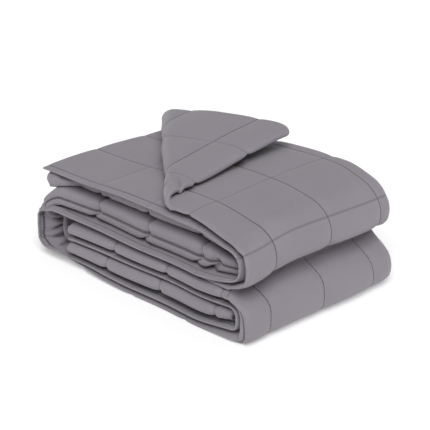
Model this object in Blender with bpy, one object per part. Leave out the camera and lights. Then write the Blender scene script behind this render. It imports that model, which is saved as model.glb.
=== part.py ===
# A quilted weighted blanket, doubled twice across its width and then folded
# into four runs along its length, with one corner of the top layer turned back.
# The blanket is first laid out flat, as it is sewn, and then each point of it
# is carried to its folded place. Metres, +Z up, front of the stack towards -Y.

import math

import bmesh
import bpy
import numpy as np

# Cloth
squarePitch = 0.136       # one quilted square, seam to seam
squareThickness = 0.0112  # at the middle of a square
seamThickness = 0.0036    # along a sewn seam
hemThickness = 0.0046     # at the outer edge
layerPitch = 0.01225      # spacing of the stacked layers

# Folded stack
rightFoldX = 0.2265       # axis of both folds on the right
leftFoldX = -0.2240       # axis of the large fold on the left
leftFoldBulge = 0.0405    # how far its middle line reaches past that axis
topFreeX = -0.2660        # free end of the top run
innerFreeX = -0.1960      # free end of the run held inside the left fold
frontFoldY = 0.0125       # axis of the fold along the front
backFoldY = 0.3680        # axis of the folds along the back
stackCentreX = -0.0004    # middle of the settled stack from left to right
stackCentreY = 0.1957     # and from front to back
floorFlat = 0.0028        # depth pressed flat against the floor

# Turned back corner of the top layer
cornerX = -0.2710         # where the corner would lie if it were flat
flapAlongFront = 0.366    # from the corner to the crease along the front edge
flapAlongEnd = 0.354      # from the corner to the crease along the free end
flapFrontRadius = 0.0125
flapEndRadius = 0.0255
flapStretch = 1.12        # pull of the loose corner on the bias
flapLift = 0.052          # slope of the turned part above the crease
flapDroop = 0.021         # sag of its loose front hem

# Heights of the layer boundaries in layer pitches, counted from the floor: even
# as laid, then as they rest inside the stack and as they show along the front,
# where rolls stand tall and hems lie thin.
heights = (
    {"laid": 0.0, "inside": 0.0, "front": 0.0},
    {"laid": 2.0, "inside": 2.25, "front": 1.70},
    {"laid": 3.0, "inside": 3.40, "front": 2.60},
    {"laid": 4.0, "inside": 4.55, "front": 3.20},
    {"laid": 5.0, "inside": 5.70, "front": 4.80},
    {"laid": 6.0, "inside": 6.85, "front": 5.90},
    {"laid": 8.0, "inside": 9.10, "front": 8.60},
    {"laid": 9.0, "inside": 10.05, "front": 8.95},
    {"laid": 10.0, "inside": 11.00, "front": 9.75},
    {"laid": 11.0, "inside": 11.95, "front": 11.95},
    {"laid": 12.0, "inside": 12.90, "front": 13.80},
    {"laid": 14.0, "inside": 14.85, "front": 15.45},
    {"laid": 15.0, "inside": 15.80, "front": 16.15},
    {"laid": 16.5, "inside": 17.25, "front": 17.30},
)

# Sections along the folded strip. "seams" are where the cross seams lie, from
# the section's start to its end, as a share of it; "steps" are the mesh steps
# between start, seams and end. "top", "hem" and "roll" are how far back from
# the front face the three front edges sit at the section's end.
sections = (
    {"name": "top run", "seams": (0.0274, 0.256, 0.532, 0.808), "steps": (1, 4, 4, 3, 2),
     "top": 0.002, "hem": 0.002, "roll": 0.0},
    {"name": "upper fold", "seams": (0.285,), "steps": (2, 4),
     "top": 0.0, "hem": 0.004, "roll": 0.004},
    {"name": "second run", "seams": (0.101, 0.409, 0.716), "steps": (1, 3, 3, 3),
     "top": 0.022, "hem": 0.001, "roll": -0.002},
    {"name": "left fold", "seams": (0.06, 0.57), "steps": (1, 3, 3),
     "top": 0.014, "hem": 0.006, "roll": 0.001},
    {"name": "bottom run", "seams": (0.145, 0.452, 0.760), "steps": (2, 3, 3, 2),
     "top": 0.010, "hem": 0.003, "roll": -0.005},
    {"name": "lower fold", "seams": (0.20,), "steps": (1, 5),
     "top": 0.010, "hem": 0.005, "roll": -0.001},
    {"name": "inner run", "seams": (0.035, 0.357, 0.679, 0.968), "steps": (1, 3, 3, 3, 1),
     "top": 0.001, "hem": 0.002, "roll": 0.0},
)

# Panels across the strip, from the top layer's front edge to the hem layer's.
# "seams" and "steps" are as above; "level" is the height of a flat panel over
# the middle of the strip in layer pitches, and a fold's is its own radius.
panels = (
    {"name": "top layer", "kind": "flat", "level": 1.5, "seams": (0.038, 0.192, 0.575, 0.958),
     "steps": (1, 2, 3, 3, 1)},
    {"name": "outer back fold", "kind": "back", "level": 1.5, "seams": (), "steps": (4,)},
    {"name": "outer roll layer", "kind": "flat", "level": -1.5, "seams": (0.183, 0.575), "steps": (2, 3, 3)},
    {"name": "front fold", "kind": "front", "level": 0.5, "seams": (0.5,), "steps": (2, 2)},
    {"name": "inner roll layer", "kind": "flat", "level": -0.5, "seams": (0.31, 0.65), "steps": (2, 2, 2)},
    {"name": "inner back fold", "kind": "back", "level": 0.5, "seams": (0.0,), "steps": (0, 3)},
    {"name": "hem layer", "kind": "flat", "level": 0.5, "seams": (0.274, 0.622, 0.961),
     "steps": (2, 3, 3, 1)},
)


def clearScene():
    for item in list(bpy.data.objects):
        bpy.data.objects.remove(item, do_unlink=True)


def smooth(t):
    t = np.clip(t, 0.0, 1.0)
    return t * t * (3.0 - 2.0 * t)


def traceStrip():
    # Middle line of the strip seen from the front: straight runs joined by half
    # rounds. Gives its points, their distance along it and the section ends.
    r = 2.0 * layerPitch
    levels = [h * layerPitch for h in (14.0, 12.0, 10.0, 6.0, 2.0, 4.0, 6.0)]
    pieces = []

    def run(x0, x1, z):
        x = np.linspace(x0, x1, 200)
        pieces.append(np.stack([x, np.full(200, z)], 1))

    def turn(cx, cz, a, b, start, end):
        t = np.linspace(start, end, 160)
        pieces.append(np.stack([cx + a * np.cos(t), cz + b * np.sin(t)], 1))

    half = math.pi / 2.0
    run(topFreeX, rightFoldX, levels[0])
    turn(rightFoldX, levels[1], r, r, half, -half)
    run(rightFoldX, leftFoldX, levels[2])
    turn(leftFoldX, levels[3], leftFoldBulge, 4.0 * layerPitch, half, 3.0 * half)
    run(leftFoldX, rightFoldX, levels[4])
    turn(rightFoldX, levels[5], r, r, -half, half)
    run(rightFoldX, innerFreeX, levels[6])
    points = np.concatenate(pieces)
    gaps = np.r_[0.0, np.linalg.norm(np.diff(points, axis=0), axis=1)]
    along = np.cumsum(gaps)
    ends = np.cumsum([len(p) for p in pieces]) - 1
    keep = np.r_[True, gaps[1:] > 1e-8]
    return points[keep], along[keep], np.r_[0.0, along[ends]]


stripPoints, stripAlong, sectionEnds = traceStrip()
stripAngle = np.unwrap(np.arctan2(np.gradient(stripPoints[:, 1], stripAlong),
                                  np.gradient(stripPoints[:, 0], stripAlong)))
sectionNames = [row["name"] for row in sections]


def stripFrame(s):
    # Place of the middle line at distance s and its unit normal; both ends run on straight.
    over = np.minimum(s, 0.0) - np.maximum(s - stripAlong[-1], 0.0)
    x = np.interp(s, stripAlong, stripPoints[:, 0]) + over
    z = np.interp(s, stripAlong, stripPoints[:, 1])
    a = np.interp(s, stripAlong, stripAngle)
    return x, z, -np.sin(a), np.cos(a)


def panelLengths():
    lengths = []
    for row in panels:
        if row["kind"] == "flat":
            start = frontFoldY if "roll" in row["name"] else 0.003
            lengths.append(backFoldY - start)
        else:
            lengths.append(math.pi * row["level"] * layerPitch)
    return lengths


panelEnds = np.r_[0.0, np.cumsum(panelLengths())]


def seamLines(rows, ends):
    lines = []
    for row, a, b in zip(rows, ends[:-1], ends[1:]):
        lines += [a + share * (b - a) for share in row["seams"]]
    return np.array(lines)


def meshLines(rows, ends):
    lines = [ends[0]]
    for row, a, b in zip(rows, ends[:-1], ends[1:]):
        marks = [a] + [a + share * (b - a) for share in row["seams"]] + [b]
        for start, end, steps in zip(marks[:-1], marks[1:], row["steps"]):
            lines += list(np.linspace(start, end, steps + 1)[1:])
    return np.array(lines)


crossSeams = seamLines(sections, sectionEnds)
longSeams = seamLines(panels, panelEnds)


def betweenSeams(t, seams, ends):
    # 0 on a seam and beyond the hem seams, rising to 1 halfway between two seams.
    marks = np.r_[ends[0], seams, ends[-1]]
    k = np.clip(np.searchsorted(marks, t, side="right") - 1, 0, len(marks) - 2)
    share = np.clip((t - marks[k]) / np.maximum(marks[k + 1] - marks[k], 1e-9), 0.0, 1.0)
    inner = (k > 0) & (k < len(marks) - 2)
    return np.where(inner, np.sin(np.pi * share), 0.0)


def thickness(s, v):
    # A square is pillow shaped: thin on its seams, full in its middle.
    fill = np.sqrt(betweenSeams(s, crossSeams, sectionEnds) * betweenSeams(v, longSeams, panelEnds))
    edge = (s < crossSeams[0]) | (s > crossSeams[-1]) | (v < longSeams[0]) | (v > longSeams[-1])
    return np.where(edge, hemThickness, seamThickness + (squareThickness - seamThickness) * fill)


def frontSetback(s, column):
    # Setback of one front edge from the front face, eased from section end to section end.
    values = [sections[0][column]] + [row[column] for row in sections]
    return np.interp(s, sectionEnds, values)


def slipAlong(s, v):
    # The layers slide on each other along the top run: the top layer reaches
    # further left than the strip, and the others' cross seams lie further right.
    onTop = 1.0 - smooth((v - panelEnds[1]) / (panelEnds[2] - panelEnds[1]))
    onHem = smooth((v - panelEnds[5]) / (panelEnds[6] - panelEnds[5]))
    early = np.clip(1.0 - s / sectionEnds[1], 0.0, 1.0)
    hump = np.sin(np.pi * np.clip(s / sectionEnds[1], 0.0, 1.0))
    between = (1.0 - onTop) * (1.0 - onHem)
    return (cornerX - topFreeX) * onTop * early + (0.018 * onHem + 0.008 * between) * hump


def crossSection(s, v):
    # Place and normal in the strip's own section: y from front to back, n from
    # the strip's middle line, for a point at distance v across the cloth.
    y = np.zeros_like(v)
    n = np.zeros_like(v)
    ny = np.zeros_like(v)
    nn = np.zeros_like(v)
    topFront = 0.003 + frontSetback(s, "top")
    hemFront = 0.003 + frontSetback(s, "hem")
    rollFront = frontFoldY + frontSetback(s, "roll")
    for k, row in enumerate(panels):
        share = (v - panelEnds[k]) / (panelEnds[k + 1] - panelEnds[k])
        here = (share >= 0.0) & (share <= 1.0)
        level = row["level"] * layerPitch
        if row["name"] == "top layer":
            py, pn, qy, qn = topFront + share * (backFoldY - topFront), level, 0.0, 1.0
        elif row["name"] == "outer roll layer":
            py, pn, qy, qn = backFoldY + share * (rollFront - backFoldY), level, 0.0, -1.0
        elif row["name"] == "inner roll layer":
            py, pn, qy, qn = rollFront + share * (backFoldY - rollFront), level, 0.0, 1.0
        elif row["name"] == "hem layer":
            py, pn, qy, qn = backFoldY + share * (hemFront - backFoldY), level, 0.0, -1.0
        elif row["name"] == "outer back fold":
            a = math.pi * share
            py, pn = backFoldY + level * np.sin(a), level * np.cos(a)
            qy, qn = np.sin(a), np.cos(a)
        elif row["name"] == "inner back fold":
            a = math.pi * share
            py, pn = backFoldY + level * np.sin(a), -level * np.cos(a)
            qy, qn = -np.sin(a), np.cos(a)
        else:
            a = math.pi * share
            py, pn = rollFront - level * np.sin(a), -layerPitch - level * np.cos(a)
            qy, qn = -np.sin(a), -np.cos(a)
        y = np.where(here, py, y)
        n = np.where(here, pn, n)
        ny = np.where(here, qy, ny)
        nn = np.where(here, qn, nn)
    return y, n, ny, nn


def turnBack(x, y, lift):
    # Rolls the top layer over the slanting crease near its free corner. lift is the
    # height over the layer's middle. Gives the new place and how far past the crease.
    crease = np.array([-flapAlongFront, flapAlongEnd])
    length = np.linalg.norm(crease)
    crease = crease / length
    inward = np.array([-crease[1], crease[0]])
    px = x - (cornerX + flapAlongFront)
    py = y - 0.003
    along = px * crease[0] + py * crease[1]
    past = px * inward[0] + py * inward[1]
    radius = flapFrontRadius + (flapEndRadius - flapFrontRadius) * np.clip(along / length, 0.0, 1.0)
    a = np.clip(past / radius, 0.0, math.pi)
    beyond = np.maximum(past - math.pi * radius, 0.0) * flapStretch
    across = np.where(past < 0.0, past, radius * np.sin(a) - beyond) - lift * np.sin(a)
    rise = radius * (1.0 - np.cos(a)) + flapLift * beyond + lift * np.cos(a)
    front = np.exp(-((y - 0.003) / 0.058) ** 2)
    rise = rise - flapDroop * front * smooth(beyond / 0.05) * smooth((x - cornerX) / 0.11)
    newX = cornerX + flapAlongFront + along * crease[0] + across * inward[0]
    newY = 0.003 + along * crease[1] + across * inward[1]
    return newX, newY, rise, past


def squareOff(x, z, level, above, below):
    # Fills out a fold on the right towards a rounded box. The share by which a
    # point moves from the fold's axis follows its angle only, so layers stay apart.
    dx = x - rightFoldX
    dz = z - level
    r = np.maximum(np.hypot(dx, dz), 1e-9)
    power = np.where(dz > 0.0, above, below)
    c = np.maximum(dx, 0.0) / r
    d = np.abs(dz) / r
    grow = (c ** power + d ** power) ** (-1.0 / power)
    grow = np.where(dx > 0.0, grow, 1.0)
    return rightFoldX + np.where(dx > 0.0, dx * grow, dx), level + dz * grow


def settle(x, y, z):
    # Takes the even stack to the shape it rests in: tall rolls and thin hems along
    # the front, a crown on top, a lower left end and a slightly uneven outline.
    upper = z > 8.0 * layerPitch
    ux, uz = squareOff(x, z, 12.0 * layerPitch, 2.0, 2.7)
    lx, lz = squareOff(x, z, 4.0 * layerPitch, 2.2, 3.4 - 1.0 * smooth((y - 0.12) / 0.24))
    x = np.where(upper, ux, lx)
    z = np.where(upper, uz, lz)
    laid = np.array([row["laid"] for row in heights]) * layerPitch
    inside = np.array([row["inside"] for row in heights]) * layerPitch
    front = np.array([row["front"] for row in heights]) * layerPitch
    nearFront = (1.0 - smooth((y - 0.02) / 0.11)) * (1.0 - 0.7 * smooth((x - 0.13) / 0.13))
    over = np.maximum(z - laid[-1], 0.0)
    z = np.interp(z, laid, inside) * (1.0 - nearFront) + np.interp(z, laid, front) * nearFront + over
    height = z / (17.0 * layerPitch)
    ridge = np.exp(-((x - 0.10) / 0.15) ** 2)
    depth = np.sin(np.pi * np.clip(y / 0.46, 0.0, 1.0))
    crown = ridge * (0.005 + 0.012 * depth)
    leftDrop = 0.009 * smooth((-x - 0.02) / 0.24) * (1.0 - 0.9 * depth)
    rightDrop = 0.014 * smooth((x - 0.16) / 0.11) * smooth((y - 0.08) / 0.28) * smooth(height / 0.55)
    frontDrop = 0.014 * smooth((x - 0.12) / 0.13) * (1.0 - smooth((y - 0.02) / 0.11))
    z = z + height * (crown - leftDrop) - rightDrop - frontDrop * np.clip(height, 0.0, 1.0) ** 2
    low = z / (7.0 * layerPitch) - 1.0
    x = x + 0.012 * np.clip(low, -1.0, 1.0) * smooth((-x - 0.18) / 0.09)
    x = x + 0.007 * np.sin(np.pi * np.clip(y / 0.42, 0.0, 1.0)) * smooth((x - 0.12) / 0.14)
    x = x + 0.018 * smooth((y - 0.12) / 0.25) * smooth((x - 0.12) / 0.14) * (1.0 - smooth(height / 0.55))
    x = x + 0.0025 * np.sin(9.0 * y + 14.0 * z) * smooth(np.abs(x) / 0.2)
    y = y + 0.0022 * np.sin(13.0 * x + 21.0 * z) + 0.0015 * np.sin(31.0 * x - 17.0 * z)
    z = z + 0.0012 * height * np.sin(17.0 * x + 11.0 * y)
    return x, y, z


def folded(s, v, side):
    # The folded place of a point of the flat cloth: s along it, v across it, and
    # side 1 or -1 for its two faces.
    lift = side * thickness(s, v) / 2.0
    y, n, ny, nn = crossSection(s, v)
    x0, z0, nx, nz = stripFrame(s + slipAlong(s, v))
    y1 = y + lift * ny
    n1 = n + lift * nn
    x = x0 + n1 * nx
    z = z0 + n1 * nz
    top = (v <= panelEnds[1]) & (s <= sectionEnds[1])
    fx, fy, rise, past = turnBack(x0, y, lift)
    turned = top & (past > 0.0)
    sag = 0.011 * np.clip(1.0 - s / 0.045, 0.0, 1.0) ** 2 * np.clip(0.5 - n / (3.0 * layerPitch), 0.0, 1.0)
    z = z - sag * (1.0 - 0.9 * smooth((y - 0.02) / 0.10))
    x = np.where(turned, fx, x)
    y1 = np.where(turned, fy, y1)
    z = np.where(turned, z0 + 1.5 * layerPitch + rise, z)
    x, y1, z = settle(x, y1, z)
    underLip = 0.007 * smooth((0.10 - x) / 0.30) * (1.0 - smooth(y1 / 0.05)) * (1.0 - smooth(z / 0.03))
    z = np.maximum(z + underLip, floorFlat) - floorFlat
    return np.stack([x - stackCentreX, y1 - stackCentreY, z], -1)


def scoreCrease(mesh):
    # Scores the top layer, still flat, along lines beside the crease of its corner,
    # so that the turn there is rounded in even steps.
    front = 0.003 + sections[0]["top"]
    perS = 1.0 + (topFreeX - cornerX) / sectionEnds[1]
    perV = (backFoldY - front) / panelEnds[1]
    crease = np.array([-flapAlongFront, flapAlongEnd])
    unit = crease / np.linalg.norm(crease)
    inward = np.array([-unit[1], unit[0]])
    corner = np.array([flapAlongFront, 0.003 - front])
    for step in range(6):
        bend = math.pi * step / 5.0
        start = corner + bend * flapFrontRadius * inward
        end = corner + crease + bend * flapEndRadius * inward
        start = start / (perS, perV)
        end = end / (perS, perV)
        across = (end[1] - start[1], start[0] - end[0], 0.0)
        top = [face for face in mesh.faces
               if all(vertex.co.x < sectionEnds[1] + 1e-6 for vertex in face.verts)
               and all(vertex.co.y < panelEnds[1] + 1e-6 for vertex in face.verts)]
        edges = list(dict.fromkeys(edge for face in top for edge in face.edges))
        corners = list(dict.fromkeys(vertex for face in top for vertex in face.verts))
        bmesh.ops.bisect_plane(mesh, geom=top + edges + corners, dist=0.0015,
                               plane_co=(start[0], start[1], 0.0), plane_no=across)


def flatBlanket():
    # The blanket as sewn, a thin closed sheet in (s, v, side) coordinates.
    rows = meshLines(sections, sectionEnds)
    columns = meshLines(panels, panelEnds)
    lastRow = len(rows) - 1
    lastColumn = len(columns) - 1
    mesh = bmesh.new()
    grid = {}
    for side in (1.0, -1.0):
        for i, s in enumerate(rows):
            for j, v in enumerate(columns):
                grid[side, i, j] = mesh.verts.new((s, v, side))
    for i in range(lastRow):
        for j in range(lastColumn):
            for side in (1.0, -1.0):
                corners = [grid[side, i, j], grid[side, i + 1, j],
                           grid[side, i + 1, j + 1], grid[side, i, j + 1]]
                mesh.faces.new(corners if side > 0 else corners[::-1])
    rim = [(i, 0) for i in range(lastRow)]
    rim += [(lastRow, j) for j in range(lastColumn)]
    rim += [(i, lastColumn) for i in range(lastRow, 0, -1)]
    rim += [(0, j) for j in range(lastColumn, 0, -1)]
    for a, b in zip(rim, rim[1:] + rim[:1]):
        mesh.faces.new((grid[-1.0, a[0], a[1]], grid[-1.0, b[0], b[1]],
                        grid[1.0, b[0], b[1]], grid[1.0, a[0], a[1]]))
    mesh.normal_update()
    scoreCrease(mesh)
    return mesh


def makeCloth():
    cloth = bpy.data.materials.new("quilted microfibre")
    cloth.use_nodes = True
    shader = cloth.node_tree.nodes["Principled BSDF"]
    shader.inputs["Base Color"].default_value = (0.235, 0.222, 0.242, 1.0)
    shader.inputs["Roughness"].default_value = 0.8
    shader.inputs["Metallic"].default_value = 0.0
    return cloth


def buildBlanket():
    mesh = flatBlanket()
    bmesh.ops.triangulate(mesh, faces=mesh.faces[:], quad_method="BEAUTY", ngon_method="BEAUTY")
    mesh.verts.ensure_lookup_table()
    flat = np.array([vertex.co[:] for vertex in mesh.verts])
    placed = folded(flat[:, 0], flat[:, 1], flat[:, 2])
    for vertex, point in zip(mesh.verts, placed):
        vertex.co = point
    bmesh.ops.recalc_face_normals(mesh, faces=mesh.faces[:])
    data = bpy.data.meshes.new("blanket")
    mesh.to_mesh(data)
    mesh.free()
    data.materials.append(makeCloth())
    blanket = bpy.data.objects.new("blanket", data)
    bpy.context.scene.collection.objects.link(blanket)
    data.shade_smooth()
    return blanket


clearScene()
buildBlanket()
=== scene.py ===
import math

import bpy
import numpy as np
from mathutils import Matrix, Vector


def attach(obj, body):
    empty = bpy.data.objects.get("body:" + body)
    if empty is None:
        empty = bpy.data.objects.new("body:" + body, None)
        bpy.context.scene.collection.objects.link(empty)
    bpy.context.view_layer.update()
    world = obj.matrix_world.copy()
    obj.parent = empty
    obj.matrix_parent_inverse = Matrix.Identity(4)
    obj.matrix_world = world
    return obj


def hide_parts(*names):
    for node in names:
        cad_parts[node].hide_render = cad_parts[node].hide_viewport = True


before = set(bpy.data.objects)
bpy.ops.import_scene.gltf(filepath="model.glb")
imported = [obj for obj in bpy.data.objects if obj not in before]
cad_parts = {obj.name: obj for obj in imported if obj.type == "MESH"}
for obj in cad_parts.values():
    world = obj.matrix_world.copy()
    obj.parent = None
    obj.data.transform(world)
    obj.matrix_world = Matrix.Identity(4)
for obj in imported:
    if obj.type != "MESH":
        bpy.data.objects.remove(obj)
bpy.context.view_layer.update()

print("frame loaded:", ", ".join(sorted(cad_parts)))


# The blanket, in metres. It is laid out flat, as it is sewn: s runs along it,
# from the free end on top of the stack to the end folded away inside, and v
# runs across it, from the top layer's front hem to the hem layer's. Every point
# is then carried to its folded place.
blanket = {
    # the cloth
    "squareThickness": 0.0112,   # middle of a quilted square
    "lobeThickness": 0.0165,     # the free end's roll
    "seamThickness": 0.0034,     # along the stitches
    "hemThickness": 0.0046,
    "puffReach": 0.012,          # how fast a square fills out beside a seam
    "puffFull": 0.96,            # share of that at which a square is full
    "rollReach": 0.0055,         # how fast it fills out on the rolls along the front
    "rollWidth": 0.055,          # how far round the front fold that holds
    "tuckWidth": 0.070,          # and round a tucked hem
    "foldSeamEase": 0.65,        # how much the seam over the upper fold is eased out
    "foldSeamWidth": 0.05,
    "cornerRadius": 0.021,       # of the free corner
    # the mesh
    "stepGrowth": 0.34,          # how fast its steps widen away from a seam
    "stepSamples": 1200,
    "rimSteps": (0.00035, 0.0012),
    # the strip
    "layerPitch": 0.01225,       # spacing of the stacked layers
    "rightFoldX": 0.2265,        # axis of both folds on the right
    "leftFoldX": -0.2240,        # axis of the large fold on the left
    "leftFoldBulge": 0.0405,
    "topFreeX": -0.2660,         # free end on top of the stack
    "innerFreeX": -0.1960,       # end held inside the left fold
    "runPoints": 200,
    "foldPoints": 160,
    # across the strip
    "frontY": 0.003,             # front face, which the set-backs are measured from
    "frontFoldY": 0.0125,        # axis of the fold along the front
    "backFoldY": 0.3680,         # axis of the folds along the back
    "centreX": -0.0004,
    "centreY": 0.1957,
    "tuckRadius": 0.0060,        # of the hem tucked under on the inner run
    "tuckTail": 0.016,
    # the rolls along the front
    "creaseWidth": 0.0038,       # of the sewn crease along them
    "creaseFull": 0.003,         # depth of that crease at which the seams show in full
    "creaseLeast": 0.3,          # and the least that shows of them
    "creaseSpread": 0.05,        # how far round the roll that and the slide reach
    "pinchDepth": 0.0050,        # how far a cross seam draws a roll in
    "pinchWidth": 0.0050,
    "pinchReach": 0.040,
    "pinchFull": 0.006,          # depth of crease at which it draws in full
    "tuckPinch": (0.020, 0.030),     # where it draws a tucked hem in, and half how far
    "leanDepth": 0.25,           # how far a leaning seam also lies back
    "hemPinch": 0.0030,          # how far a cross seam draws the top layer's hem in
    "hemPinchReach": 0.014,
    "innerRoll": (0.6, 0.02),    # how much thinner a roll is on its inner face, and how far
    "innerHem": (0.5, 0.03),     # and the top layer's hem
    # how the layers slide along each other
    "hemSlide": 0.034,           # the hem layer, at the middle of the top run
    "rollSlide": 0.008,          # and the roll's two layers
    "tuckSlip": 0.022,           # the tucked layer, at the inner end
    "hemSlip": 0.007,            # the hem layer, at the free end
    "hemSlipReach": 0.12,
    "lobeWidth": 0.06,           # half width and length of the free end's roll
    "lobeLength": 0.040,
    "lobeFull": 1.3,             # height of its bump, of which 1 is full and the rest cut off
    "lobeMiddle": 0.011,         # half width of its middle, which stays in place
    "lobeRetreat": 0.013,        # how far it draws back above and below that
    "endSag": 0.006,             # how far the free end's lower layers sag
    "endSagReach": 0.08,
    "endSagBehind": 0.9,         # share of the sag that is lost behind the front
    # the turned back corner
    "cornerX": -0.2710,          # its place along X, were it flat
    "flapAlongFront": 0.366,     # from that corner to the crease, along the front
    "flapAlongEnd": 0.354,       # and along the free end
    "flapFrontRadius": 0.0068,
    "flapEndRadius": 0.0285,
    "flapStretch": 1.15,
    "flapLift": 0.066,
    "flapDroop": 0.006,          # how far it droops along the front, and how far back
    "flapDroopDepth": 0.058,
    "flapCurl": 0.006,           # how far its hem curls down, and over what width
    "flapCurlReach": 0.036,
    "tipDroop": 0.010,
    "tipReach": 0.13,
    # how the stack rests: what handling and its own weight add to even layers; a
    # place is a middle and a half width, and levels are in layer pitches
    "foldsMeet": 8.0,            # level between the two folds on the right
    "stackLevels": 17.0,         # level at which a crown or a drop counts in full
    "roundPower": 2.0,           # a fold's outline: 2 is round and more is squarer
    "upperFoldPower": 2.7,       # lower half of the upper fold
    "lowerFoldPowers": (2.2, 3.4),   # upper and lower half of the lower fold
    "lowerFoldEase": 1.0,        # how much rounder that lower half is at the back
    "leftFoldPower": 2.6,        # lower half of the left fold
    "crevice": 0.028,            # depth of the furrow between the right folds
    "crevicePlace": (7.8, 1.5),
    "leftShoulder": 0.008,       # bulge of the left fold's front end
    "leftShoulderPlace": (9.8, 1.9),
    "crownFront": 0.005,         # rise of the top at the front face
    "crownMiddle": 0.016,        # and its further rise behind that
    "crownPlace": (0.10, 0.15),
    "crownDepth": 0.52,
    "leftDrop": 0.009,
    "leftDropMiddle": 0.9,       # share of it that is lost behind the front
    "rightDrop": 0.014,
    "frontDrop": 0.014,          # of the right end at the front
    "backDrop": 0.014,           # of the left end at the back
    "waistLevel": 7.0,           # level above and below which the left side leans
    "leanAbove": 0.004,
    "leanBelow": 0.012,
    "rightBulge": 0.007,
    "rightBulgeDepth": 0.42,
    "rightFoot": 0.018,          # how far the lower fold's back end stands out
    "frontRight": 0.7,           # share of the front's own heights lost at the right end
    "lipWhole": 0.008,           # how far the lowest front edge lifts towards the left
    "lipLeft": 0.009,            # and how much more at its left end
    "floorFlat": 0.0028,         # depth pressed flat against the floor
}

# Slow waves in the outline: depth, and turns in radians a metre along x, y and z.
waves = {
    "x": [(0.0025, 0.0, 9.0, 14.0)],
    "y": [(0.0022, 13.0, 0.0, 21.0), (0.0015, 31.0, 0.0, -17.0)],
    "z": [(0.0012, 17.0, 11.0, 0.0)],
}

# Where one shape passes into the next: the start of the passage and its length.
passages = {
    # from a seam or an edge of the cloth
    "pastTopLayer": (0.0, 0.05),
    "hemBand": (0.0, 0.004),
    "besideHem": (0.0, 0.03),
    "pastCrease": (0.0, 0.014),
    "leanStart": (0.0, 0.012),
    "leanEnd": (0.02, 0.05),
    "beforeInnerEnd": (0.0, 0.05),
    "pastUpperFold": (0.0, 0.04),
    "flare": (0.004, 0.032),         # over which the hem leans out at the left fold
    "droopPastCrease": (0.0, 0.05),
    "droopPastCorner": (0.0, 0.11),
    "curlPastCrease": (0.0, 0.10),
    # to the right, x
    "frontToRight": (0.13, 0.13),
    "rightDrop": (0.16, 0.11),
    "frontDrop": (0.12, 0.13),
    "rightSide": (0.12, 0.14),
    "crevice": (0.0, 0.03),
    "waves": (0.0, 0.2),
    # to the left, -x
    "leftEnd": (0.02, 0.20),
    "leftDrop": (0.02, 0.24),
    "leftBackDrop": (0.10, 0.15),
    "leftSide": (0.18, 0.09),
    "leftFace": (0.215, 0.04),
    "lipWhole": (-0.10, 0.30),
    "lipLeft": (0.10, 0.14),
    # to the back, y
    "behindFront": (0.02, 0.11),
    "behindSag": (0.02, 0.10),
    "behindLip": (0.0, 0.06),
    "backOfLowerFold": (0.12, 0.24),
    "backOfRightDrop": (0.08, 0.28),
    "backOfLeft": (0.04, 0.32),
    "backOfFoot": (0.12, 0.25),
    # up, z, or as a share of the height
    "aboveLip": (0.0, 0.05),
    "upperHalf": (0.0, 0.55),
}

# Layer boundaries over the floor in layer pitches: even as laid, then as they
# rest inside the stack, along the front and at the front's left end.
restHeights = np.array([
    (0.0, 0.0, 0.0, 0.0),
    (2.0, 2.25, 0.60, 0.60),
    (3.0, 3.40, 1.87, 1.87),
    (4.0, 4.55, 3.40, 3.42),
    (5.0, 5.70, 4.75, 4.84),
    (6.0, 6.85, 5.45, 5.62),
    (8.0, 9.10, 7.55, 8.02),
    (9.0, 10.05, 8.05, 8.47),
    (10.0, 11.00, 8.60, 9.63),
    (11.0, 11.95, 10.45, 11.22),
    (12.0, 12.90, 12.90, 13.35),
    (14.0, 14.85, 15.35, 15.22),
    (15.0, 15.80, 16.05, 16.00),
    (15.2, 16.00, 16.45, 16.42),
    (16.5, 17.25, 17.65, 17.65),
])

# Sections along the strip: the level of each run, and of each fold's axis, in
# layer pitches, where the cross seams lie as a share of the section's length, and
# the mesh steps beside a seam and at the widest.
sections = [
    {"name": "top run", "level": 14.0, "seams": (0.256, 0.532, 0.808), "fine": 0.0024, "widest": 0.0115},
    {"name": "upper fold", "level": 12.0, "seams": (0.285,), "fine": 0.0024, "widest": 0.0048},
    {"name": "second run", "level": 10.0, "seams": (0.176, 0.477, 0.788), "fine": 0.0028, "widest": 0.016},
    {"name": "left fold", "level": 6.0, "seams": (0.24,), "fine": 0.0022, "widest": 0.0023},
    {"name": "bottom run", "level": 2.0, "seams": (0.145, 0.452, 0.760), "fine": 0.0036, "widest": 0.018},
    {"name": "lower fold", "level": 4.0, "seams": (0.20,), "fine": 0.0030, "widest": 0.0055},
    {"name": "inner run", "level": 6.0, "seams": (0.035, 0.372, 0.705), "fine": 0.0028, "widest": 0.016},
]
levels = {section["name"]: section["level"] * blanket["layerPitch"] for section in sections}

# Panels across the strip, given in the same way. Here level is a flat panel's
# height over the middle of the strip in layer pitches, and a fold's own radius.
panels = [
    {"name": "top layer", "kind": "flat", "level": 1.5,
     "seams": (0.192, 0.575, 0.958), "fine": 0.0024, "widest": 0.0115},
    {"name": "outer back fold", "kind": "fold", "level": 1.5,
     "seams": (), "fine": 0.005, "widest": 0.008},
    {"name": "outer roll layer", "kind": "flat", "level": -1.5,
     "seams": (0.12, 0.49, 0.86), "fine": 0.007, "widest": 0.026},
    {"name": "front fold", "kind": "fold", "level": 0.5,
     "seams": (0.5,), "fine": 0.0016, "widest": 0.0022},
    {"name": "inner roll layer", "kind": "flat", "level": -0.5,
     "seams": (0.31, 0.65), "fine": 0.007, "widest": 0.030},
    {"name": "inner back fold", "kind": "fold", "level": 0.5,
     "seams": (0.0,), "fine": 0.006, "widest": 0.008},
    {"name": "hem layer", "kind": "flat", "level": 0.5,
     "seams": (0.274, 0.622, 0.961), "fine": 0.0030, "widest": 0.015},
]

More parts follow.
